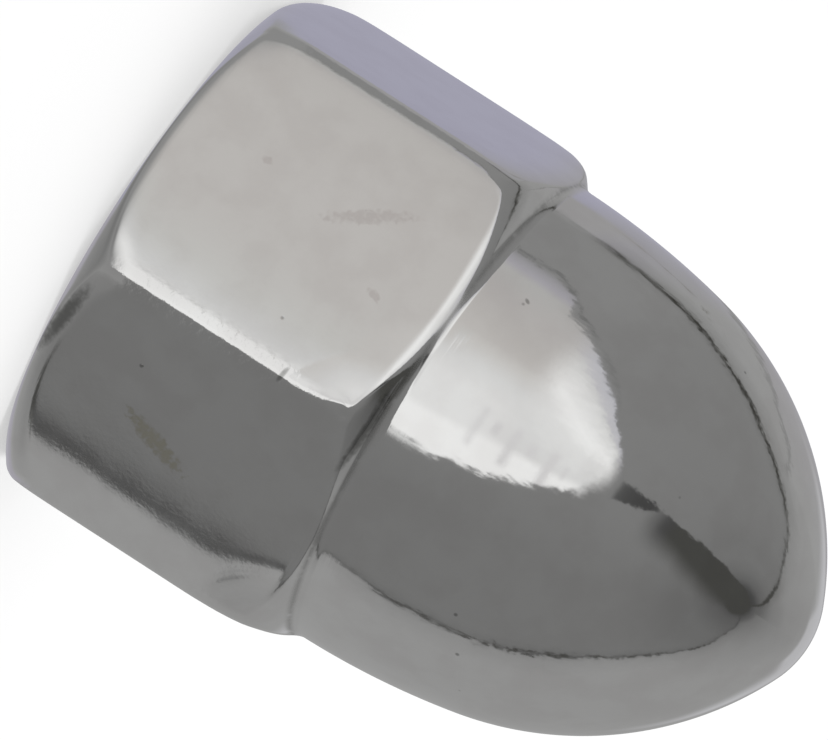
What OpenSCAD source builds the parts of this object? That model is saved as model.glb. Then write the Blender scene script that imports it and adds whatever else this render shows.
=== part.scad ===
// Cap nut with a hexagonal wrench part and a tall closed dome, one solid piece.
// Millimetres. Origin at the centre of the open bearing face, +Z along the thread
// axis towards the tip of the dome.

/* [Overall] */
// Height from the bearing face to the tip of the dome
overall_height = 20.85; // [20:0.05:23]

/* [Hexagon] */
// Width across opposite flats
across_flats = 14.3; // [13.6:0.05:15.5]
// Height of the flats, measured at the middle of a flat
hex_height = 9; // [7.5:0.05:10.5]
// Radius of the six upright corners
corner_r = 0.95; // [0.1:0.05:1.2]

/* [Rounded chamfers of the hexagon] */
// Distance from the rim of the bearing face out to the middle of a flat
bearing_inset = 0.15; // [0.05:0.05:0.4]
// Slope of the lower chamfer where it leaves the bearing face, in degrees
lower_chamfer_angle = 22; // [10:1:30]
// Radius of the curve of the lower chamfer
lower_chamfer_r = 2.4; // [2:0.1:4]
// Slope of the upper chamfer where it leaves the flats, in degrees
upper_chamfer_angle = 34; // [20:1:40]
// Radius of the curve of the upper chamfer
upper_chamfer_r = 3; // [2.4:0.1:4.5]

/* [Dome] */
// Distance from the foot of the dome out to the middle of a flat
dome_inset = 0.15; // [0.05:0.05:0.8]
// Radius of the long curve that rises from the foot
flank_r = 23; // [18:0.5:30]
// Angle through which the flank turns before the tighter middle curve, in degrees
flank_turn = 12; // [8:0.5:16]
// Radius of the rounded tip
nose_r = 2.7; // [1.6:0.1:3.6]
// Radius of the hollow fillet between the hexagon and the dome
foot_fillet_r = 0.35; // [0.15:0.05:0.6]

/* [Threaded hole] */
// Diameter of the drilled hole that the thread is cut in
tap_drill_d = 7.94; // [7:0.02:8.6]
// Depth of the full drilled diameter
drill_depth = 14.3; // [10:0.1:15]
// Point angle of the drill, in degrees
drill_point_angle = 118; // [110:1:140]
// Largest diameter of the countersunk mouth
mouth_d = 10.2; // [9.6:0.1:11.5]
// Full angle of the countersink, in degrees
mouth_angle = 90; // [80:1:120]

/* [Hidden] */
$fn = 128;

// Distance that a cutting shape runs past the surface it opens
cut_margin = 1;
// Distance that a curve reaches past the one it carries on from, so that they cross
curve_overlap = 0.001;
// Radius beyond every corner of the hexagon
outside_r = across_flats;

// Hexagon: centres of the corner rounds, and the chords that the rounds stand on
flat_r = across_flats / 2;
corner_centre_r = (flat_r - corner_r) / cos(30);
corner_chord_r = corner_centre_r + corner_r * cos(30);

// Lower chamfer: centre of its curve, which starts at the rim of the bearing face
bearing_r = flat_r - bearing_inset;
lower_centre = [
    bearing_r - lower_chamfer_r * sin(lower_chamfer_angle),
    lower_chamfer_r * cos(lower_chamfer_angle)
];

// Upper chamfer: centre of its curve, which crosses the middle of a flat at hex_height
upper_centre = [
    flat_r - upper_chamfer_r * sin(upper_chamfer_angle),
    hex_height - upper_chamfer_r * cos(upper_chamfer_angle)
];

// Dome: the flank starts upright at the foot, and the nose sits on the axis
dome_r = flat_r - dome_inset;
flank_centre = [dome_r - flank_r, hex_height];
nose_centre = [0, overall_height - nose_r];
flank_normal = [cos(flank_turn), sin(flank_turn)];
flank_end = flank_centre + flank_r * flank_normal;
// The middle curve carries on from the flank and touches the nose: its radius follows
// from the distance between the end of the flank and the centre of the nose
nose_to_flank = flank_end - nose_centre;
inner_nose_r = nose_r - 2 * curve_overlap;
inner_middle_r = (nose_to_flank * nose_to_flank - inner_nose_r * inner_nose_r)
    / (2 * (nose_to_flank * flank_normal - inner_nose_r));
middle_r = inner_middle_r + curve_overlap;
middle_centre = flank_end - inner_middle_r * flank_normal;
nose_start = nose_centre + nose_r * (nose_centre - middle_centre) / norm(nose_centre - middle_centre);

// Foot fillet: its centre lies one fillet radius outside both curves that it joins
fillet_from_upper = upper_chamfer_r + foot_fillet_r;
fillet_from_flank = flank_r + foot_fillet_r;
centre_gap = norm(upper_centre - flank_centre);
gap_along = (upper_centre - flank_centre) / centre_gap;
gap_across = [-gap_along[1], gap_along[0]];
fillet_reach = (fillet_from_flank * fillet_from_flank - fillet_from_upper * fillet_from_upper
    + centre_gap * centre_gap) / (2 * centre_gap);
fillet_rise = sqrt(fillet_from_flank * fillet_from_flank - fillet_reach * fillet_reach);
fillet_centre = flank_centre + fillet_reach * gap_along + fillet_rise * gap_across;
fillet_on_flank = flank_centre + flank_r * (fillet_centre - flank_centre) / fillet_from_flank;
fillet_on_upper = upper_centre + upper_chamfer_r * (fillet_centre - upper_centre) / fillet_from_upper;

// Hole: depth of the drill point and of the countersink
tap_r = tap_drill_d / 2;
mouth_r = mouth_d / 2;
point_depth = tap_r / tan(drill_point_angle / 2);
mouth_depth = (mouth_r - tap_r) / tan(mouth_angle / 2);

// A regular hexagon of the given inner radius
module hexagon(inner_r) {
    circle(r = inner_r / cos(30), $fn = 6);
}

// Outline of the hexagon, its corners cut back to rounds
module hexagon_outline() {
    intersection() {
        rotate(30)
            hexagon(flat_r);
        union() {
            hexagon(corner_chord_r);
            for (corner = [0:5])
                rotate(60 * corner + 30)
                    translate([corner_centre_r, 0])
                        circle(r = corner_r + curve_overlap);
        }
    }
}

// Half section of the hexagonal part, with a curved chamfer at each end
module hexagon_section() {
    intersection() {
        // lower chamfer
        union() {
            translate(lower_centre)
                circle(r = lower_chamfer_r);
            square([lower_centre[0], overall_height]);
            translate([0, lower_centre[1]])
                square([outside_r, overall_height]);
        }
        // upper chamfer
        union() {
            translate(upper_centre)
                circle(r = upper_chamfer_r);
            square([outside_r, upper_centre[1]]);
            square([upper_centre[0], hex_height]);
        }
        square([outside_r, overall_height]);
    }
}

// Half section of the dome: flank, middle curve and nose, each carrying on from the last
module dome_section() {
    intersection() {
        translate(flank_centre)
            circle(r = flank_r);
        union() {
            translate(middle_centre)
                circle(r = middle_r);
            square([outside_r, flank_end[1]]);
        }
        union() {
            translate(nose_centre)
                circle(r = nose_r);
            square([outside_r, nose_start[1]]);
        }
        square([outside_r, overall_height + cut_margin]);
    }
}

// Half section of the hollow fillet round the foot of the dome
module foot_fillet_section() {
    difference() {
        polygon([fillet_on_upper, fillet_centre, fillet_on_flank, upper_centre]);
        translate(fillet_centre)
            circle(r = foot_fillet_r + curve_overlap);
    }
}

// Drilled hole with its point and its countersunk mouth
module tapped_hole() {
    rotate_extrude()
        polygon([
            [0, -cut_margin],
            [mouth_r + cut_margin * tan(mouth_angle / 2), -cut_margin],
            [tap_r, mouth_depth],
            [tap_r, drill_depth],
            [0, drill_depth + point_depth]
        ]);
}

// The nut: a hexagonal bar turned to the section, then drilled from the bearing face
module cap_nut() {
    color([0.72, 0.72, 0.73])
        difference() {
            intersection() {
                linear_extrude(height = overall_height + cut_margin)
                    hexagon_outline();
                rotate_extrude() {
                    hexagon_section();
                    dome_section();
                    foot_fillet_section();
                }
            }
            tapped_hole();
        }
}

cap_nut();
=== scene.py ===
import math

import bmesh
import bpy
import numpy as np
from mathutils import Matrix, Vector

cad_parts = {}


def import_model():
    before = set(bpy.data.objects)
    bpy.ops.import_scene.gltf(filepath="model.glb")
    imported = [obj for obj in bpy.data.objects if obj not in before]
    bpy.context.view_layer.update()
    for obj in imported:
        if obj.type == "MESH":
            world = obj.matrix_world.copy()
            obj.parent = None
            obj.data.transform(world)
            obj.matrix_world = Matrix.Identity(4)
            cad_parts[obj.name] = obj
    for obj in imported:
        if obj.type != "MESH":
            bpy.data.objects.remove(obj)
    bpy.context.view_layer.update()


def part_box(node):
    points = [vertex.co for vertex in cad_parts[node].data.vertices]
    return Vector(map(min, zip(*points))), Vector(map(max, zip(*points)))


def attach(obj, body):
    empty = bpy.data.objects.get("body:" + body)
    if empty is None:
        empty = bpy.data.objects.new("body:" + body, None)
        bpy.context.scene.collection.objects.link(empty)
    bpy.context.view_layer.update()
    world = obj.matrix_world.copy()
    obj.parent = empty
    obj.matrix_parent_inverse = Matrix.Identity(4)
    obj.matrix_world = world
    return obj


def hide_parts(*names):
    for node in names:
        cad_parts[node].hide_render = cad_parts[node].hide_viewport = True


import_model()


# ---------------------------------------------------------------------------------------------
# The cap nut. One piece of steel, cold formed from bar: a hexagon with a tall pointed dome,
# turned at both ends of the hexagon, drilled and tapped from the open end. It was tumbled,
# so its edges and the rims of its flats roll over softly, and then plated bright.
# ---------------------------------------------------------------------------------------------

# The nut's sizes are in millimetres, and MM turns them into the scene's metres.
MM = 0.001
low_corner, high_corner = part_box("cap_nut")
across_flats = (high_corner.x - low_corner.x) / MM
overall_height = (high_corner.z - low_corner.z) / MM
flat_distance = across_flats / 2
flat_half_width = flat_distance * math.tan(math.radians(30))

# The hexagon: its height, how far its flats fall away at their sides, and the widths over
# which tumbling has rolled its edges, with the share of a full round that it took off. Each of
# the six side edges has its own width.
hexagon_height = 9.0
flat_fall = 0.08
flat_fall_power = 3.4
flat_fall_limit = 1.05
side_edge_rolls = (0.33, 0.33, 0.15, 0.4, 0.33, 0.33)
corner_distance = 8.11
lower_edge_roll = 0.7
lower_corner_roll = 0.5
lower_roll_share = 0.4
upper_edge_roll = 1.2
upper_corner_roll = 0.55
upper_roll_share = 0.36
upper_corner_share = 0.4
roll_limit = 1.15

# Where the rolled edges change: from this share of the way to a corner they narrow, and between
# these heights the lower edge's roll gives way to the upper edge's.
corner_zone = 0.35
roll_change_heights = (3, 6)

# The upper edge of one flat is crisper: its direction in degrees, how far to each side it is
# fully so and where that ends, and the share of the roll that it lacks.
crisp_middle = 302
crisp_full = 18
crisp_end = 28
crisp_share = 0.75

# The crease between the hexagon and the dome, and the heights over which its rounding ends.
crease_round = 0.1
crease_end_heights = (9.3, 10.3)

# Corners that are worn more than the rest: their direction in degrees, their height, how deep
# the wear is, and how far it reaches.
worn_corners = (
    (330, 9.3, 0.22, 3.0), (270, 8.3, 0.24, 1.7), (210, 8.4, 0.14, 2.2), (270, 0.5, 0.12, 1.0),
    (210, 0.5, 0.2, 1.5),
)
bearing_edge_round = 0.09

# The turned outline, from the bearing face up: a rounded chamfer, the flats, another rounded
# chamfer, a hollow fillet, and the three curves of the dome.
bearing_inset = 0.15
bearing_radius = flat_distance - bearing_inset
lower_chamfer_round = 2.4
lower_chamfer_slope = math.radians(22)
upper_chamfer_round = 3.0
upper_chamfer_slope = math.radians(34)
chamfer_tail = math.radians(10)
dome_inset = 0.15
dome_foot_radius = flat_distance - dome_inset
foot_fillet_round = 0.45
flank_round = 23.0
flank_turn = math.radians(12)
nose_round = 2.8
nose_wear = 0.1

# The bore: a tapped hole with a countersunk mouth and a drill point at its blind end, which has
# a small worn shoulder. The thread is flat at its crest and its root and slopes between them,
# and the crest and the slope are shares of half a pitch.
minor_radius = 3.97
major_radius = 4.72
thread_pitch = 25.4 / 16
thread_end = 11.6
thread_fade = 1.2
thread_crest = 0.22
thread_slope = 0.62
thread_runout = 0.4
drilled_depth = 14.3
drill_point_angle = math.radians(118)
drill_shoulder = 0.06
shoulder_fall = 0.03
shoulder_rise = 0.02
mouth_radius = 5.1
mouth_round = 0.05

# How closely the skin is divided: steps round one flat, steps along each stretch, and how far
# the first and last rings of the bearing face keep from its edges.
steps_round_flat = 46
steps_round = 6 * steps_round_flat
crowding_at_corners = 0.78
lower_chamfer_steps = 40
flats_steps = 26
upper_chamfer_steps = 46
fillet_steps = 10
flank_steps = 26
middle_steps = 58
nose_steps = 9
thread_turn_steps = 16
thread_spare_rows = 3
drill_point_steps = 7
bearing_face_steps = 3
bearing_face_margins = (0.05, 0.04)
weld_distance = 0.00001


def arc(centre, radius, start, end, steps):
    """Points of a circular arc in the outline's plane: how far out, and how high."""
    turn = np.linspace(start, end, steps + 1)[:-1]
    return np.stack([centre[0] + radius * np.cos(turn), centre[1] + radius * np.sin(turn)], 1)


def angle_from(centre, point):
    """The direction in which a point lies, seen from a centre."""
    return math.atan2(point[1] - centre[1], point[0] - centre[0])


def turned_outline():
    """The outline that the lathe leaves, from the bearing face to the tip of the dome."""
    lower_turn = -math.pi / 2 + lower_chamfer_slope
    lower_centre = (
        bearing_radius - lower_chamfer_round * math.cos(lower_turn),
        -lower_chamfer_round * math.sin(lower_turn),
    )
    lower = arc(lower_centre, lower_chamfer_round, lower_turn, -chamfer_tail, lower_chamfer_steps)

    upper_turn = math.pi / 2 - upper_chamfer_slope
    upper_centre = (
        flat_distance - upper_chamfer_round * math.cos(upper_turn),
        hexagon_height - upper_chamfer_round * math.sin(upper_turn),
    )

    flank_centre = (dome_foot_radius - flank_round, hexagon_height)
    fillet_reach = upper_chamfer_round + foot_fillet_round
    flank_reach = flank_round + foot_fillet_round
    fillet_centre = circles_meet(upper_centre, fillet_reach, flank_centre, flank_reach)
    fillet_start = angle_from(fillet_centre, upper_centre)
    fillet_end = angle_from(fillet_centre, flank_centre)
    upper_end = angle_from(upper_centre, fillet_centre)
    upper = arc(upper_centre, upper_chamfer_round, chamfer_tail, upper_end, upper_chamfer_steps)
    fillet_start, fillet_end = fillet_start % math.tau, fillet_end % math.tau
    fillet = arc(fillet_centre, foot_fillet_round, fillet_start, fillet_end, fillet_steps)

    flank_start = angle_from(flank_centre, fillet_centre)
    flank = arc(flank_centre, flank_round, flank_start, flank_turn, flank_steps)
    flank_way = np.array([math.cos(flank_turn), math.sin(flank_turn)])
    flank_end = np.array(flank_centre) + flank_round * flank_way
    nose_centre = np.array([0.0, overall_height - nose_wear - nose_round])
    to_nose = flank_end - nose_centre
    middle_round = (to_nose @ to_nose - nose_round**2) / (2 * (to_nose @ flank_way - nose_round))
    middle_centre = flank_end - middle_round * flank_way
    nose_start = angle_from(middle_centre, nose_centre)
    middle = arc(middle_centre, middle_round, flank_turn, nose_start, middle_steps)
    nose = arc(nose_centre, nose_round, nose_start, math.pi / 2, nose_steps)

    between = np.linspace(lower[-1, 1], upper[0, 1], flats_steps)[1:-1]
    lower_tail = lower[-1, 0] + math.tan(chamfer_tail) * (between - lower[-1, 1])
    upper_tail = upper[0, 0] + math.tan(chamfer_tail) * (upper[0, 1] - between)
    flats = np.stack([np.minimum(lower_tail, upper_tail), between], 1)
    return np.concatenate([lower, flats, upper, fillet, flank, middle, nose])


def circles_meet(first, first_radius, second, second_radius):
    """The outer of the two points at which two circles meet."""
    apart = math.dist(first, second)
    along = (first_radius**2 - second_radius**2 + apart**2) / (2 * apart)
    aside = math.sqrt(first_radius**2 - along**2)
    way = ((second[0] - first[0]) / apart, (second[1] - first[1]) / apart)
    middle = (first[0] + along * way[0], first[1] + along * way[1])
    points = [
        (middle[0] - side * aside * way[1], middle[1] + side * aside * way[0])
        for side in (1, -1)
    ]
    return max(points, key=lambda point: point[1])


def rolled(a, b, width):
    """What rolling takes off where two faces are nearly as far out as each other."""
    near = np.clip(1 - np.abs(a - b) / width, 0, 1)
    return width / 4 * near**2


def ease(low, high, value):
    """0 up to a low value and 1 from a high one, easing between them."""
    share = np.clip((value - low) / (high - low), 0, 1)
    return share * share * (3 - 2 * share)


def directions_round():
    """Directions round the nut, crowded towards the hexagon's corners."""
    share = np.linspace(-1, 1, steps_round_flat + 1)[:-1]
    crowded = np.sin(share * math.pi / 2)
    flat = math.radians(30) * ((1 - crowding_at_corners) * share + crowding_at_corners * crowded)
    return np.concatenate([flat + math.radians(60) * side for side in range(6)])


def flat_reach(turn):
    """How far one flat, on its own, lets the skin reach at an angle from the flat's middle."""
    across = np.minimum(flat_distance * np.tan(turn) / flat_half_width, flat_fall_limit)
    return (flat_distance - flat_fall * across**flat_fall_power) / np.cos(turn)


def from_flat(round_angle):
    """The angle between a direction and the middle of the nearest flat."""
    return np.abs((round_angle + math.radians(30)) % math.radians(60) - math.radians(30))


def hexagon_reach(round_angle, up):
    """The hexagon's own radius, with its rolled flats and its rounded and worn corners."""
    turn = from_flat(round_angle)
    this_flat, next_flat = flat_reach(turn), flat_reach(math.radians(60) - turn)
    corner = (round_angle % math.tau // math.radians(60)).astype(int)
    reach = this_flat - rolled(this_flat, next_flat, np.array(side_edge_rolls)[corner])
    for angle, height, depth, wear_reach in worn_corners:
        apart = (round_angle - math.radians(angle) + math.pi) % math.tau - math.pi
        away = np.hypot(corner_distance * apart, up - height)
        reach = reach - depth * np.clip(1 - away / wear_reach, 0, 1) ** 2
    return reach


def outside_rings(round_angles):
    """Rings of the outside skin, from the bearing face to just under the tip."""
    outline = turned_outline()
    out, up = outline[:, 0], outline[:, 1]
    at_edge = np.clip(1 - up / bearing_edge_round, 0, 1)
    out = out - bearing_edge_round * (1 - np.sqrt(1 - at_edge**2))
    up = up[:, None]
    turned, forged = out[:, None], hexagon_reach(round_angles[None, :], up)
    to_corner = ease(corner_zone, 1, from_flat(round_angles) / math.radians(30))[None, :]
    upper_roll = upper_edge_roll + (upper_corner_roll - upper_edge_roll) * to_corner
    to_dome = ease(*roll_change_heights, up)
    lower_roll = lower_edge_roll + (lower_corner_roll - lower_edge_roll) * to_corner
    width = lower_roll + (upper_roll - lower_roll) * to_dome
    upper_share = upper_roll_share + (upper_corner_share - upper_roll_share) * to_corner
    share = lower_roll_share + (upper_share - lower_roll_share) * to_dome
    from_crisp = np.abs((round_angles - math.radians(crisp_middle) + math.pi) % math.tau - math.pi)
    crisp = 1 - ease(math.radians(crisp_full), math.radians(crisp_end), from_crisp)
    width = width * (1 - crisp_share * crisp * to_dome)
    nearness = np.clip(1 - (turned - forged) / width, 0, roll_limit)
    flats = forged - share * width / 4 * nearness**2
    crease = rolled(turned, flats, crease_round) * (1 - ease(*crease_end_heights, up))
    reach = np.minimum(turned, flats) - crease
    return reach, np.broadcast_to(up, reach.shape)


def bore_rings(round_angles):
    """Rings of the bore, from its mouth to just under the drill point, wound with the thread."""
    last_row = int(thread_end / thread_pitch * thread_turn_steps) + thread_spare_rows
    rows = np.arange(-thread_turn_steps, last_row)[:, None] / thread_turn_steps
    up = (rows + round_angles[None, :] / math.tau) * thread_pitch
    tooth = np.abs(rows % 1 - 0.5) * 2
    groove = np.clip((tooth - thread_crest) / thread_slope, 0, 1)
    depth = (major_radius - minor_radius) * (1 - ease(thread_end - thread_fade, thread_end, up))
    thread = minor_radius + depth * groove
    up = np.clip(up, 0, thread_end)
    mouth = mouth_radius - up
    reach = np.maximum(thread, mouth) + rolled(thread, mouth, mouth_round)
    return reach, up


def tip_rings():
    """The plain end of the bore and its drill point, as outline points."""
    point_rise = minor_radius / math.tan(drill_point_angle / 2)
    wall_heights = (thread_end + thread_runout, drilled_depth - drill_shoulder)
    walls = [(minor_radius, up) for up in wall_heights]
    shoulder = (minor_radius - shoulder_fall, drilled_depth + shoulder_rise)
    cone = [
        (minor_radius * (1 - share), drilled_depth + point_rise * share)
        for share in np.linspace(0, 1, drill_point_steps)[1:-1]
    ]
    return [*walls, shoulder, *cone], drilled_depth + point_rise


def ring_vertices(reach, up, round_angles):
    """Turns rings given by radius and height into places in metres."""
    x = reach * np.cos(round_angles)
    y = reach * np.sin(round_angles)
    return np.stack([x, y, np.broadcast_to(up, x.shape)], -1) * MM


def strip_faces(first, second, count):
    """Quads between two closed rings of vertices, given by the index of each one's first."""
    step = np.arange(count)
    after = (step + 1) % count
    return np.stack([first + step, first + after, second + after, second + step], 1).tolist()


def nut_mesh():
    """The whole skin, closed: down the outside, across the bearing face and up the bore."""
    round_angles = directions_round()
    outside = ring_vertices(*outside_rings(round_angles), round_angles)
    outer_margin, inner_margin = bearing_face_margins
    outermost = bearing_radius - bearing_edge_round - outer_margin
    face_radii = np.linspace(outermost, mouth_radius + inner_margin, bearing_face_steps)
    bearing_face = [ring_vertices(np.full(steps_round, r), 0.0, round_angles) for r in face_radii]
    bore = ring_vertices(*bore_rings(round_angles), round_angles)
    tip_outline, tip_height = tip_rings()
    tip = [ring_vertices(np.full(steps_round, r), up, round_angles) for r, up in tip_outline]

    rings = list(outside[::-1]) + bearing_face + list(bore) + tip
    vertices = np.concatenate(rings).tolist()
    faces = []
    for ring in range(len(rings) - 1):
        faces += strip_faces((ring + 1) * steps_round, ring * steps_round, steps_round)
    vertices.append([0, 0, (overall_height - nose_wear) * MM])
    top = len(vertices) - 1
    faces += [[(step + 1) % steps_round, top, step] for step in range(steps_round)]
    vertices.append([0, 0, tip_height * MM])
    deep = len(vertices) - 1
    last = (len(rings) - 1) * steps_round
    faces += [[last + step, deep, last + (step + 1) % steps_round] for step in range(steps_round)]

    mesh = bpy.data.meshes.new("cap_nut_skin")
    mesh.from_pydata(vertices, [], faces)
    return mesh


nut_skin = nut_mesh()
nut_skin.validate()
nut = bpy.data.objects.new("cap_nut_plated", nut_skin)
bpy.context.scene.collection.objects.link(nut)

welded = bmesh.new()
welded.from_mesh(nut_skin)
bmesh.ops.remove_doubles(welded, verts=welded.verts, dist=weld_distance * MM)
bmesh.ops.dissolve_degenerate(welded, dist=weld_distance * MM, edges=welded.edges)
bmesh.ops.recalc_face_normals(welded, faces=welded.faces)
for face in welded.faces:
    face.smooth = True
welded.to_mesh(nut_skin)
welded.free()


def join(socket, value):
    """Feeds a socket from another socket, or sets it to a plain value."""
    if isinstance(value, bpy.types.NodeSocket):
        value.id_data.links.new(value, socket)
    else:
        socket.default_value = value


def beside(kind, *values):
    """A new node in the tree that one of the values comes from."""
    tree = next(value.id_data for value in values if isinstance(value, bpy.types.NodeSocket))
    return tree.nodes.new(kind)


def sums(operation, *values):
    """One step of arithmetic on sockets and plain values."""
    node = beside("ShaderNodeMath", *values)
    node.operation = operation
    for socket, value in zip(node.inputs, values):
        join(socket, value)
    return node.outputs[0]


def total(*values):
    """Several values added up."""
    whole = values[0]
    for value in values[1:]:
        whole = sums("ADD", whole, value)
    return whole


def less(value, taken):
    return sums("SUBTRACT", value, taken)


def times(value, factor):
    return sums("MULTIPLY", value, factor)


def along(value, first, last):
    """How far along a stretch a value lies, from 0 at its start to 1 at its end."""
    node = beside("ShaderNodeMapRange", value)
    join(node.inputs["Value"], value)
    node.inputs["From Min"].default_value = first
    node.inputs["From Max"].default_value = last
    return node.outputs["Result"]


def past(value, place, width):
    """0 before a place and 1 after it, easing over a width."""
    share = along(less(value, place), -width / 2, width / 2)
    share.node.interpolation_type = "SMOOTHSTEP"
    return share


def before(value, place, width):
    """1 before a place and 0 after it, easing over a width."""
    return less(1, past(value, place, width))


def both(*masks):
    """Where all of several masks hold."""
    whole = masks[0]
    for mask in masks[1:]:
        whole = times(whole, mask)
    return whole


def near(value, place, reach, width):
    """1 within reach of a place and 0 beyond it, easing over a width."""
    apart = sums("ABSOLUTE", less(value, place))
    return before(apart, reach, width)


def laid_over(under, over, mask):
    """One colour laid over another where a mask says."""
    node = beside("ShaderNodeMix", mask)
    node.data_type = "RGBA"
    join(node.inputs[0], mask)
    join(node.inputs[6], under)
    join(node.inputs[7], over)
    return node.outputs[2]


def noise_at(places, scale, detail=2.0):
    """Noise about 0, with so many waves to a unit of the places."""
    node = beside("ShaderNodeTexNoise", places)
    node.inputs["Scale"].default_value = scale
    node.inputs["Detail"].default_value = detail
    join(node.inputs["Vector"], places)
    return less(node.outputs["Fac"], 0.5)


def unevenness(places, *waves):
    """Several noises together: how many waves each has to a unit, its detail and its height."""
    whole = 0.0
    for scale, detail, height in waves:
        whole = total(whole, times(noise_at(places, scale, detail), height))
    return whole


def vectors(operation, *values):
    """One step of arithmetic on places or directions."""
    node = beside("ShaderNodeVectorMath", *values)
    node.operation = operation
    for socket, value in zip(node.inputs, values):
        join(socket, value)
    return node


def spot(places, centre, axis, half_length, half_width, raggedness=0.0):
    """A long spot on the skin: 1 in its middle, fading to 0 at its ends and sides."""
    away = vectors("SUBTRACT", places, centre).outputs["Vector"]
    down = vectors("DOT_PRODUCT", away, Vector(axis).normalized()).outputs["Value"]
    distance = vectors("LENGTH", away).outputs["Value"]
    down_squared = times(down, down)
    aside_squared = less(times(distance, distance), down_squared)
    lengthwise = sums("DIVIDE", down_squared, half_length**2)
    spread = total(sums("DIVIDE", aside_squared, half_width**2), lengthwise)
    if raggedness:
        spread = total(spread, times(noise_at(places, rim_waves), raggedness))
    return before(spread, 0.5, 1.0)


def marks(places, each_mark, raggedness=0.0):
    """Several spots together."""
    whole = 0.0
    for centre, axis, half_length, half_width in each_mark:
        mark = spot(places, centre, axis, half_length, half_width, raggedness)
        whole = sums("MAXIMUM", whole, mark)
    return whole


# Where the nut has been knocked and stained, and where dark streaks are painted on: the middle
# of each mark, the way it runs, and half its length and width.
edge_nicks = (
    ((-0.1, -8.07, 6.36), (-0.47, 0.05, 0.08), 0.36, 0.09),
    ((-4.69, -5.13, 10.43), (0.5, -0.4, 1), 0.12, 0.07),
)
flat_stains = (
    ((-4.4, -5.72, 5.75), (-0.91, 0.53, 1.5), 1.4, 0.25),
    ((-4.25, -5.82, 2.7), (0, 0, 1), 0.2, 0.14),
    ((-2.9, -6.6, 7.1), (0.3, 0, 1), 0.3, 0.15),
)
olive_stains = (((3.65, -6.17, 4.0), (0.7, 0.41, 1.9), 1.3, 0.36),)
scuffed_strips = (((5.15, -5.27, 4.6), (0, 0, 1), 5.5, 0.5),)
# Painted dark reflections: dark streaks laid into the plating's colour, one just under the crease
# and one near the bearing end.
painted_dark_streaks = (
    ((0.1, -7.3, 8.9), (-2.3, 0.1, 0.1), 1.7, 0.24),
    ((2.0, -7.05, 0.38), (1.9, 1.1, -0.5), 1.75, 0.27),
)

# How ragged the rims of the stains and of the painted dark streaks are, and the waves to a
# millimetre that their rims follow.
stain_raggedness = 2.2
streak_raggedness = 0.8
rim_waves = 7

# The plating's relief: slow waves and two sizes of orange peel, each with its waves to a
# millimetre, its detail and its height in micrometres, and the heights of the other marks.
micrometre = MM / 1000
skin_waves = ((0.55, 1, 2.5), (3.5, 2, 0.16), (9, 2, 0.22))
turning_height = 1.6
pit_depth = 1.5
knock_height = 8.0
scuff_height = 0.45

# The skin's other patterns, each with its waves to a millimetre and its detail. That of the
# turning marks is drawn out sideways, so that it runs in rings.
turning_stretch = (0.5, 0.5, 9)
turning_pattern = (1, 3)
knock_pattern = (4, 3)
scuff_pattern = (6, 3)
crease_shade_pattern = (2.5, 2)
cloud_pattern = (0.8, 4)
haze_pattern = (1.4, 3)

# Where they lie. The bands of turning marks and of the painted shade in the crease have a
# height, how far they reach to each side of it, and the width over which they end. Knocks lie
# wherever the edges reach out beyond a radius, and pits in some of the cells of a pattern.
dome_foot_marks = (9.55, 0.3, 0.7)
bearing_end_marks = (0.3, 0.3, 0.5)
crease_shade_band = (9.06, 0.05, 0.16)
knocked_beyond = 7.97
knocks_fade = 0.12
pit_cells_to_millimetre = 0.9
pit_radius = 0.05
pitless_share = 0.72

# The plating's colours, clear and cloudy, those of its stains, of the painted shade in the
# crease, of the grime in the pits and nicks and of the painted dark streaks, and how much of
# the crease the painted shade covers and how much of the pits and nicks the grime covers.
clear_plating = (0.78, 0.78, 0.77, 1)
cloudy_plating = (0.745, 0.74, 0.73, 1)
brown_stain = (0.67, 0.65, 0.64, 1)
olive_stain = (0.64, 0.62, 0.53, 1)
crease_painted_shade = (0.3, 0.3, 0.29, 1)
pit_grime = (0.25, 0.25, 0.24, 1)
painted_streak_grey = (0.33, 0.33, 0.32, 1)
crease_shade_cover = 0.6
pit_cover = 0.7

# How hazy its reflection is: everywhere, unevenly, on the stains and in the crease.
clear_haze = 0.047
uneven_haze = 0.04
stain_haze = 0.08
crease_haze = 0.25


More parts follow.
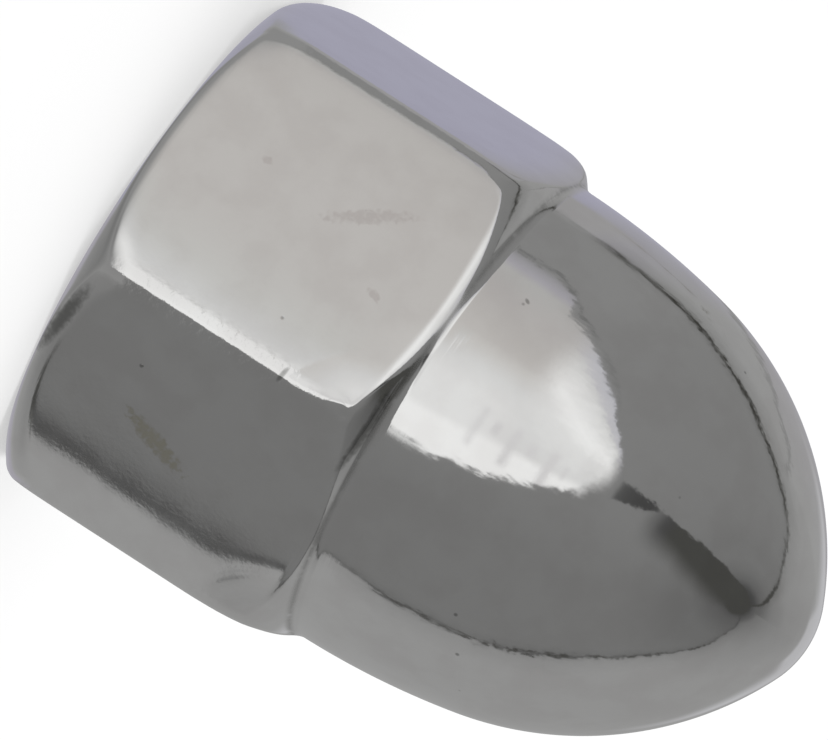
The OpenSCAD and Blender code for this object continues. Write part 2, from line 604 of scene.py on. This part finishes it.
def plated_steel():
    """Bright plating: a clear reflection, faintly hazy, over a skin that is never quite flat."""
    material = bpy.data.materials.new("bright_plating")
    material.use_nodes = True
    tree = material.node_tree
    tree.nodes.clear()
    here = tree.nodes.new("ShaderNodeTexCoord")
    to_millimetres = (1 / MM, 1 / MM, 1 / MM)
    places = vectors("MULTIPLY", here.outputs["Object"], to_millimetres).outputs["Vector"]
    height = tree.nodes.new("ShaderNodeSeparateXYZ")
    tree.links.new(places, height.inputs[0])
    up = height.outputs["Z"]
    level = vectors("MULTIPLY", places, (1, 1, 0)).outputs["Vector"]
    out = vectors("LENGTH", level).outputs["Value"]

    # Turning marks round the foot of the dome and at the bearing end.
    ringed = vectors("MULTIPLY", places, turning_stretch).outputs["Vector"]
    turned_zone = total(near(up, *dome_foot_marks), near(up, *bearing_end_marks))
    turning = both(noise_at(ringed, *turning_pattern), turned_zone)

    # Knocks along the edges, scattered pits and the scuffed strip.
    knocked = past(out, knocked_beyond, knocks_fade)
    knocks = both(noise_at(places, *knock_pattern), knocked, knock_height)
    cells = tree.nodes.new("ShaderNodeTexVoronoi")
    cells.inputs["Scale"].default_value = pit_cells_to_millimetre
    tree.links.new(places, cells.inputs["Vector"])
    chosen = tree.nodes.new("ShaderNodeSeparateColor")
    tree.links.new(cells.outputs["Color"], chosen.inputs[0])
    in_cell = before(cells.outputs["Distance"], pit_radius, pit_radius)
    pits = both(in_cell, past(chosen.outputs["Red"], pitless_share, 0.02))
    scuffed = marks(places, scuffed_strips)
    scuffing = both(noise_at(places, *scuff_pattern), scuffed, scuff_height)
    relief = total(
        unevenness(places, *skin_waves),
        times(turning, turning_height),
        times(pits, -pit_depth),
        knocks,
        scuffing,
    )
    bump = tree.nodes.new("ShaderNodeBump")
    bump.inputs["Strength"].default_value = 1
    bump.inputs["Distance"].default_value = micrometre
    tree.links.new(relief, bump.inputs["Height"])

    # Brown and olive stains on the flats, grime in the pits and the nicks, painted shade in the
    # crease, and painted dark streaks that stand in for dark reflections.
    stains = marks(places, flat_stains, stain_raggedness)
    olive = marks(places, olive_stains, stain_raggedness)
    deep = marks(places, painted_dark_streaks, streak_raggedness)
    shade_patches = past(noise_at(places, *crease_shade_pattern), -0.12, 0.3)
    crease = both(near(up, *crease_shade_band), shade_patches)
    cloudy = past(noise_at(places, *cloud_pattern), 0.02, 0.3)
    holes = sums("MAXIMUM", pits, marks(places, edge_nicks))
    colour = laid_over(clear_plating, cloudy_plating, cloudy)
    colour = laid_over(colour, brown_stain, stains)
    colour = laid_over(colour, olive_stain, olive)
    # Painted shade: the crease is darkened in patches.
    colour = laid_over(colour, crease_painted_shade, times(crease, crease_shade_cover))
    colour = laid_over(colour, pit_grime, times(holes, pit_cover))
    # Painted dark reflections: dark streaks laid into the plating's colour.
    colour = laid_over(colour, painted_streak_grey, deep)
    haze = total(
        times(noise_at(places, *haze_pattern), uneven_haze),
        times(sums("MAXIMUM", stains, olive), stain_haze),
        times(crease, crease_haze),
        clear_haze,
    )

    surface = tree.nodes.new("ShaderNodeBsdfPrincipled")
    surface.inputs["Metallic"].default_value = 1
    tree.links.new(colour, surface.inputs["Base Color"])
    tree.links.new(haze, surface.inputs["Roughness"])
    tree.links.new(bump.outputs[0], surface.inputs["Normal"])
    output = tree.nodes.new("ShaderNodeOutputMaterial")
    tree.links.new(surface.outputs[0], output.inputs["Surface"])
    return material


nut_skin.materials.append(plated_steel())
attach(nut, "root")
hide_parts("cap_nut")


# ---------------------------------------------------------------------------------------------
# The table. A wide sheet of matt board, which glows a little so that it looks white. The nut
# stands on it on its open end, and the plating doesn't show it.
# ---------------------------------------------------------------------------------------------

table_size = 4.0
table_clearance = 0.02 * MM
board_grey = (0.4, 0.4, 0.4, 1)
board_roughness = 0.9
board_sheen = 0.1
board_glow = 0.5

half = table_size / 2
table_corners = [(-half, -half, 0), (half, -half, 0), (half, half, 0), (-half, half, 0)]
table_mesh = bpy.data.meshes.new("table_board")
table_mesh.from_pydata(table_corners, [], [(0, 1, 2, 3)])
table = bpy.data.objects.new("table_board", table_mesh)
bpy.context.scene.collection.objects.link(table)
table.location.z = -table_clearance
board = bpy.data.materials.new("matt_board")
board.use_nodes = True
paper = board.node_tree.nodes["Principled BSDF"]
paper.inputs["Base Color"].default_value = board_grey
paper.inputs["Roughness"].default_value = board_roughness
paper.inputs["Specular IOR Level"].default_value = board_sheen
paper.inputs["Emission Color"].default_value = (1, 1, 1, 1)
paper.inputs["Emission Strength"].default_value = board_glow
table_mesh.materials.append(board)
table.visible_glossy = False


# ---------------------------------------------------------------------------------------------
# The studio. A small tent of grey card and cloth round the nut, with a bright cloth patch low in
# front, a dark gap over it, mid grey card to both sides, and paler card behind ragged seams.
# Only reflections see it: the board gets plain, even light.
# ---------------------------------------------------------------------------------------------

# Below, bearings are degrees round from the tent's front, rises are degrees above level, and
# shades are steps of 255. The cards are as bright as they must be for plating that reflects
# this share of the light to show those shades.
studio_front = math.radians(259.255)
plating_share = 0.76
plain_light_strength = 0.95

# How the edges of card and cloth stray: waves to a unit of direction, detail, and degrees.
card_fraying = ((9, 2, 1.6), (22, 4, 7), (60, 2, 5), (170, 2, 3))
hem_fraying = ((12, 2, 3), (50, 2, 2))

studio = bpy.data.worlds.new("studio")
bpy.context.scene.world = studio
studio.use_nodes = True
tent = studio.node_tree
tent.nodes.clear()


def bends(value, *points):
    """A height that follows straight lines through points, such as a seam's bearing by rise."""
    node = beside("ShaderNodeFloatCurve", value)
    first, last = points[0][0], points[-1][0]
    low = min(height for _, height in points)
    high = max(height for _, height in points)
    curve = node.mapping.curves[0]
    for index, (place, height) in enumerate(points):
        at = ((place - first) / (last - first), (height - low) / (high - low))
        if index == 0:
            curve.points[0].location = at
        elif index == len(points) - 1:
            curve.points[len(curve.points) - 1].location = at
        else:
            curve.points.new(*at)
    for point in curve.points:
        point.handle_type = "VECTOR"
    node.mapping.update()
    join(node.inputs["Value"], along(value, first, last))
    return sums("MULTIPLY_ADD", node.outputs[0], high - low, low)


def shown(red, green=None, blue=None):
    """The light of a card that the plating shows as this colour, in steps of 255."""
    shares = [step / 255 for step in (red, green or red, blue or red)]
    return (*[((share + 0.055) / 1.055) ** 2.4 / plating_share for share in shares], 1)


def greys(value, *stops):
    """Card that changes shade along a bearing or a rise."""
    node = beside("ShaderNodeValToRGB", value)
    first, last = stops[0][0], stops[-1][0]
    elements = node.color_ramp.elements
    for index, (place, *colour) in enumerate(stops):
        at = (place - first) / (last - first)
        if index == 0:
            element = elements[0]
        elif index == len(stops) - 1:
            element = elements[len(elements) - 1]
        else:
            element = elements.new(at)
        element.position = at
        element.color = shown(*colour)
    join(node.inputs["Fac"], along(value, first, last))
    return node.outputs["Color"]


toward = tent.nodes.new("ShaderNodeTexCoord")
facing = tent.nodes.new("ShaderNodeVectorRotate")
facing.rotation_type = "Z_AXIS"
facing.inputs["Angle"].default_value = -studio_front
tent.links.new(toward.outputs["Generated"], facing.inputs["Vector"])
outward = facing.outputs[0]
parts = tent.nodes.new("ShaderNodeSeparateXYZ")
tent.links.new(outward, parts.inputs[0])
round_from_front = sums("ARCTAN2", parts.outputs["Y"], parts.outputs["X"])
bearing = times(round_from_front, -math.degrees(1))
rise = times(sums("ARCSINE", parts.outputs["Z"]), math.degrees(1))

# The edges are torn and frayed, but straighter low down, where the hexagon's flats show them.
# The dashes are where a loose dark thread shows along a seam.
frayed_share = bends(rise, (-9, 0.12), (-6.5, 1))
ragged = total(bearing, times(unevenness(outward, *card_fraying), frayed_share))
ragged_rise = total(rise, unevenness(outward, *hem_fraying))
dashes = past(noise_at(outward, 28), -0.03, 0.12)

# The dark that shows through every opening in the tent.
dark_gap = shown(65, 65, 63)

# Grey card to the front and sides, and paler card behind a dark seam on the left. A seam has
# soft shade on both sides, which is narrower low down.
left_card = greys(
    rise, (48, 111), (60, 106), (66, 103), (72, 102), (78, 94), (82, 88), (86, 70), (88, 65),
)
right_card = greys(
    rise, (2, 127), (6, 123), (14, 121), (48, 118), (60, 115), (66, 111), (72, 111), (76, 106),
    (80, 95), (83, 70), (85, 65),
)
tent_colour = laid_over(left_card, right_card, past(bearing, -8, 70))
left_behind = greys(
    rise, (-10, 145), (-2, 142), (48, 141), (60, 134), (66, 131), (72, 125), (76, 119), (80, 110),
    (82, 90), (84, 75), (86, 66),
)
left_seam = bends(
    rise, (-12, -83), (-9.4, -83.5), (-8, -85), (-6, -85.8), (-3, -88), (0, -90), (12, -89.5),
    (30, -88.4), (40, -88.2), (50, -91.5), (55, -94.5), (60, -98), (65, -104), (70, -107),
    (76, -113), (78, -120), (82, -129),
)
left_crisp = bends(rise, (-9.3, 3.2), (-8, 2), (-6, 1))
from_left = both(less(ragged, left_seam), left_crisp)
left_line = greys(
    rise, (-9.5, 72), (-8, 92), (-6, 102), (0, 88), (4, 93), (9, 101), (15, 90), (30, 81),
    (40, 100), (50, 87), (72, 89), (76, 82), (80, 66),
)
left_shade_high = bends(
    from_left, (-15, 0), (-5.3, 0.14), (-3.3, 0.21), (-1.6, 0.34), (-1.1, 0.7), (-0.8, 1),
    (0.8, 1), (1.4, 0.4), (3.7, 0.15), (6.7, 0),
)
left_shade_low = bends(from_left, (-2.4, 0), (-1.6, 0.8), (-1.2, 1), (0.8, 1), (2, 0.35), (3.8, 0))
higher_by = both(less(left_shade_high, left_shade_low), past(rise, -7.5, 2))
left_shade = total(left_shade_low, higher_by)
tent_colour = laid_over(tent_colour, left_behind, before(from_left, -0.5, 1.4))
tent_colour = laid_over(tent_colour, left_line, left_shade)
left_dashes = both(near(from_left, 0, 0.7, 0.6), dashes, near(rise, 35, 40, 10))
tent_colour = laid_over(tent_colour, shown(58, 57, 54), both(left_dashes, 0.8))

# Paler card behind the right seam, a little violet low down. It has a second, thinner seam, and
# low down some loose threads.
right_behind = greys(
    rise, (-9.5, 151, 150, 165), (-7, 149, 148, 156), (-4, 146, 145, 149), (0, 144), (30, 143),
    (50, 139), (60, 135), (66, 132), (70, 125), (74, 120), (78, 104), (80, 95), (82, 91),
    (84, 74), (85, 65),
)
below_second = greys(
    rise, (-9.5, 151, 150, 165), (-9, 149, 148, 157), (-7, 147, 146, 152), (-4, 147, 146, 150),
    (5, 147, 146, 148), (30, 146),
)
second_seam = bends(
    rise, (-9, 178), (-4, 163), (0, 157), (5, 150), (9, 146.5), (15, 142), (21, 139), (27, 136),
    (32, 131),
)
past_second = both(past(ragged, second_seam, 1), before(rise, 32, 4))
right_behind = laid_over(right_behind, below_second, past_second)
second_line = both(near(ragged, second_seam, 1.1, 1.2), before(rise, 32, 5))
right_behind = laid_over(right_behind, shown(128), second_line)
loose_threads = bends(
    rise, (-9, 137), (-7, 139.8), (-4, 141.3), (-1, 138.5), (2.3, 134), (4, 132),
)
thread_marks = both(near(ragged, loose_threads, 0.5, 0.7), dashes, near(rise, -2.5, 5.5, 2))
right_behind = laid_over(right_behind, shown(116, 115, 112), thread_marks)
low_grey = both(before(bearing, 144, 8), before(rise, -5, 3))
right_behind = laid_over(right_behind, shown(147, 146, 147), low_grey)
right_seam = bends(
    rise, (-9.5, 120), (3, 121), (9, 119.8), (15, 118.5), (27, 119.5), (36, 122.5), (46, 127.5),
    (60, 128.5), (66, 133), (70, 135.5), (74, 139.5), (78, 148), (84, 160),
)
from_right = less(ragged, right_seam)
right_shade = bends(
    from_right, (-6, 0), (-2.6, 0.15), (-1.6, 0.5), (-0.8, 0.9), (0.8, 0.9), (1.8, 0.5),
    (3.6, 0.25), (10, 0.1), (14, 0),
)
right_depth = bends(
    rise, (-6, 0), (-3, 0.85), (0, 1), (42, 1), (46, 0.55), (63, 0.55), (66, 1), (78, 1), (82, 0),
)
right_crisp = bends(rise, (-8, 0.3), (-4, 1))
past_right = past(both(from_right, right_crisp), 0.5, 3)
tent_colour = laid_over(tent_colour, right_behind, past_right)
tent_colour = laid_over(tent_colour, shown(74, 74, 72), both(right_shade, right_depth))
right_dashes = both(near(from_right, 0, 0.9, 0.8), dashes, right_depth)
tent_colour = laid_over(tent_colour, shown(48, 47, 44), both(right_dashes, 0.85))
hole_reach = bends(rise, (65, -0.5), (70, 2.5), (76, 3.5), (80, 3), (84, 3))
past_hole_edge = less(sums("ABSOLUTE", from_right), hole_reach)
right_hole = both(before(past_hole_edge, 0, 1), past(rise, 65.5, 1))
tent_colour = laid_over(tent_colour, dark_gap, right_hole)

# The bright cloth patch. It is crisp along its left border, where a white hem with small folds
# runs, and along its slanting right border, where it turns away and darkens.
patch_left = bends(
    ragged_rise, (-7, -18.5), (-2, -18.5), (0, -17.3), (1, -15), (5, -13.8), (8, -11), (10, -8.3),
    (13, -4), (16, -0.8), (18, 0), (20, 2), (24, 8), (30, 17),
)
patch_left_soft = bends(rise, (-3, 6), (0, 2.5), (19, 2.5), (24, 14), (30, 18))
from_patch_left = less(ragged, patch_left)
in_left = past(sums("DIVIDE", from_patch_left, patch_left_soft), 0, 1)
patch_right = bends(
    rise, (-9.5, 84), (-3, 82.5), (-1, 80.5), (0, 78.5), (1, 70.5), (4, 67.5), (8, 59.5), (13, 50),
    (16, 45), (20, 39.5), (24, 34.5), (27, 29.5), (32, 20),
)
to_right = less(patch_right, ragged)
in_patch = both(in_left, past(to_right, 0, 1.6), before(rise, 27.5, 7))
cloth = greys(
    bearing, (2, 217), (16, 216), (26, 204), (34, 191, 189, 187), (38.5, 182, 179, 177),
    (45, 177, 174, 172), (60, 170, 167, 166), (72, 167, 166, 165), (76, 157, 155, 161),
    (80, 146, 145, 149), (84, 125),
)
low_cloth = greys(
    bearing, (2, 226), (27, 224), (31, 213), (33.5, 197), (36, 187, 186, 184),
    (38.5, 182, 179, 177), (45, 177, 174, 172), (60, 170, 167, 166), (72, 167, 166, 165),
    (84, 125),
)
cloth = laid_over(cloth, low_cloth, before(rise, -8.2, 1.2))
upper_scale = bends(rise, (9, 1), (14, 1.05), (18, 1.3), (22, 1.9), (26, 2.4))
upper_cloth = greys(
    both(to_right, upper_scale), (0, 176, 176, 182), (5, 183, 182, 186), (8, 198), (11, 209),
    (14, 214), (18, 222), (22, 228), (26, 224), (30, 215), (40, 211), (44, 207),
)
cloth = laid_over(cloth, upper_cloth, past(rise, 5.5, 6))
hem_inner = bends(rise, (-9, -3), (-5, -2), (0, -1), (5, 1.5), (10, 3), (15, 4), (19, 5.5))
cloth = laid_over(cloth, shown(229), before(less(bearing, hem_inner), 0, 5))
fold_spacing = 2.8
for first_fold, fold_middle, fold_half_length in ((1.7, 3.5, 9.5), (4.4, 7, 3)):
    from_fold = sums("PINGPONG", less(rise, first_fold), fold_spacing)
    fold = both(before(from_fold, 0.6, 0.7), near(bearing, fold_middle, fold_half_length, 4))
    cloth = laid_over(cloth, shown(203, 202, 203), both(fold, near(rise, 9, 7.5, 2)))
tent_colour = laid_over(tent_colour, cloth, in_patch)
right_edge = bends(
    rise, (-3, 84.5), (0, 80), (1, 78), (2, 74), (5, 69), (9, 61.5), (14, 52), (18, 45),
)
edge_depth = total(near(rise, -1.5, 6.5, 2), both(near(rise, 11, 5, 3), 0.5))
edge_line = both(near(ragged, right_edge, 0.9, 0.9), edge_depth)
edge_line = both(edge_line, sums("MULTIPLY_ADD", dashes, 0.5, 0.4))
tent_colour = laid_over(tent_colour, shown(104), edge_line)

# The dark gap over the patch: a narrow tongue that widens towards the top of the tent, crisp on
# its right and fading away on its left.
tongue_left = bends(rise, (31, 10), (36, 12), (42, 16.2), (47, 21), (50, 25))
gap_full = bends(rise, (49, 18), (60, 15), (70, 10), (76, 6), (80, 0), (84, -13))
gap_fade = bends(rise, (60, 26), (70, 36), (80, 55))
gap_right = bends(
    rise, (31, 21), (36, 22.8), (49, 24.3), (54, 26), (60, 28), (64, 32.5), (70, 36.5), (74, 44),
    (78, 51), (80, 58), (82, 73), (84, 110),
)
in_tongue = both(past(less(ragged, tongue_left), 0, 1.6), before(rise, 47, 3))
in_fade = past(sums("DIVIDE", less(bearing, gap_full), gap_fade), -0.5, 1)
in_gap = sums("MAXIMUM", in_tongue, both(in_fade, past(rise, 47, 8)))
in_gap = both(in_gap, before(less(ragged, gap_right), 0, 2), past(rise, 32, 2.5))
gap_colour = greys(
    rise, (31, 86), (35, 72), (39, 66), (44, 65), (48, 80), (52, 68), (55, 65, 65, 63),
)
tent_colour = laid_over(tent_colour, gap_colour, in_gap)
tent_colour = laid_over(tent_colour, dark_gap, past(rise, 84.5, 1.6))

# Opposite the tent's front, a soft white window, which the back of the nut shows.
from_back = less(180, sums("ABSOLUTE", bearing))
window = both(before(from_back, 17, 10), near(rise, 24, 18, 8))
tent_colour = laid_over(tent_colour, shown(176, 176, 179), both(window, 0.9))

# Below the nut's own level the patch and the cards fade into the tent's floor. A small dark gap
# is left where the left seam meets it.
tent_floor = greys(
    bearing, (-125, 157, 155, 163), (-102, 149), (-90, 138), (-82, 118), (-66, 125), (-50, 136),
    (0, 130), (24, 122), (40, 134), (120, 133), (134, 144), (150, 152, 151, 164),
)
in_floor = both(before(rise, -13, 6), before(both(in_patch, past(rise, -28, 32)), 0.5, 1))
tent_colour = laid_over(tent_colour, tent_floor, in_floor)
floor_middle = greys(rise, (-80, 115), (-66, 124), (-50, 134))
tent_colour = laid_over(tent_colour, floor_middle, before(rise, -50, 10))
floor_gap = both(near(ragged, -83.3, 1.3, 1), near(rise, -12.6, 1.3, 1.2))
floor_gap = both(floor_gap, sums("MULTIPLY_ADD", dashes, 0.4, 0.55))
tent_colour = laid_over(tent_colour, shown(62, 62, 60), floor_gap)

# Reflections see the tent, and all else gets plain light from every side.
reflected = tent.nodes.new("ShaderNodeBackground")
tent.links.new(tent_colour, reflected.inputs["Color"])
plain_light = tent.nodes.new("ShaderNodeBackground")
plain_light.inputs["Color"].default_value = (1, 1, 1, 1)
plain_light.inputs["Strength"].default_value = plain_light_strength
light_path = tent.nodes.new("ShaderNodeLightPath")
either = tent.nodes.new("ShaderNodeMixShader")
tent.links.new(light_path.outputs["Is Glossy Ray"], either.inputs["Fac"])
tent.links.new(plain_light.outputs[0], either.inputs[1])
tent.links.new(reflected.outputs[0], either.inputs[2])
studio_output = tent.nodes.new("ShaderNodeOutputWorld")
tent.links.new(either.outputs[0], studio_output.inputs["Surface"])


# ---------------------------------------------------------------------------------------------
# The lamp. A wide soft box high over the table, to one side. It gives the nut its gentle shadow
# on the board, and the plating doesn't show it.
# ---------------------------------------------------------------------------------------------

lamp_place = Vector((0.25, 0.15, 0.6))
lamp_size = 0.5
lamp_watts = 2.0

lamp_light = bpy.data.lights.new("soft_box", "AREA")
lamp_light.shape = "DISK"
lamp_light.size = lamp_size
lamp_light.energy = lamp_watts
lamp = bpy.data.objects.new("soft_box", lamp_light)
bpy.context.scene.collection.objects.link(lamp)
lamp.location = lamp_place
lamp.rotation_euler = lamp_place.to_track_quat("Z", "Y").to_euler()
lamp.visible_glossy = False


# ---------------------------------------------------------------------------------------------
# The camera. A long lens that looks slightly down on the nut, rolled so that the dome points
# down and to the right.
# ---------------------------------------------------------------------------------------------

camera_bearing = studio_front
camera_rise = math.radians(9.485)
camera_roll = math.radians(32.78)
camera_distance = 529.94 * MM
aim_height = 7.896 * MM
aim_sideways = 0.5355 * MM
sensor_width = 36.0
lens_to_sensor = 24.155
nearest_seen = 0.01
farthest_seen = 20

level_out = Vector((math.cos(camera_bearing), math.sin(camera_bearing), 0))
level_side = Vector((math.sin(camera_bearing), -math.cos(camera_bearing), 0))
upright = Vector((0, 0, 1))
to_camera = level_out * math.cos(camera_rise) + upright * math.sin(camera_rise)
along_nut = upright * math.cos(camera_rise) - level_out * math.sin(camera_rise)
picture_right = along_nut * math.cos(camera_roll) + level_side * math.sin(camera_roll)
picture_up = level_side * math.cos(camera_roll) - along_nut * math.sin(camera_roll)
aim = level_side * aim_sideways + upright * aim_height

camera_data = bpy.data.cameras.new("camera")
camera_data.sensor_width = sensor_width
camera_data.lens = sensor_width * lens_to_sensor
camera_data.clip_start = nearest_seen
camera_data.clip_end = farthest_seen
camera = bpy.data.objects.new("camera", camera_data)
bpy.context.scene.collection.objects.link(camera)
place = Matrix((picture_right, picture_up, to_camera)).transposed().to_4x4()
place.translation = aim + to_camera * camera_distance
camera.matrix_world = place
bpy.context.scene.camera = camera
bpy.context.scene.view_settings.view_transform = "Standard"
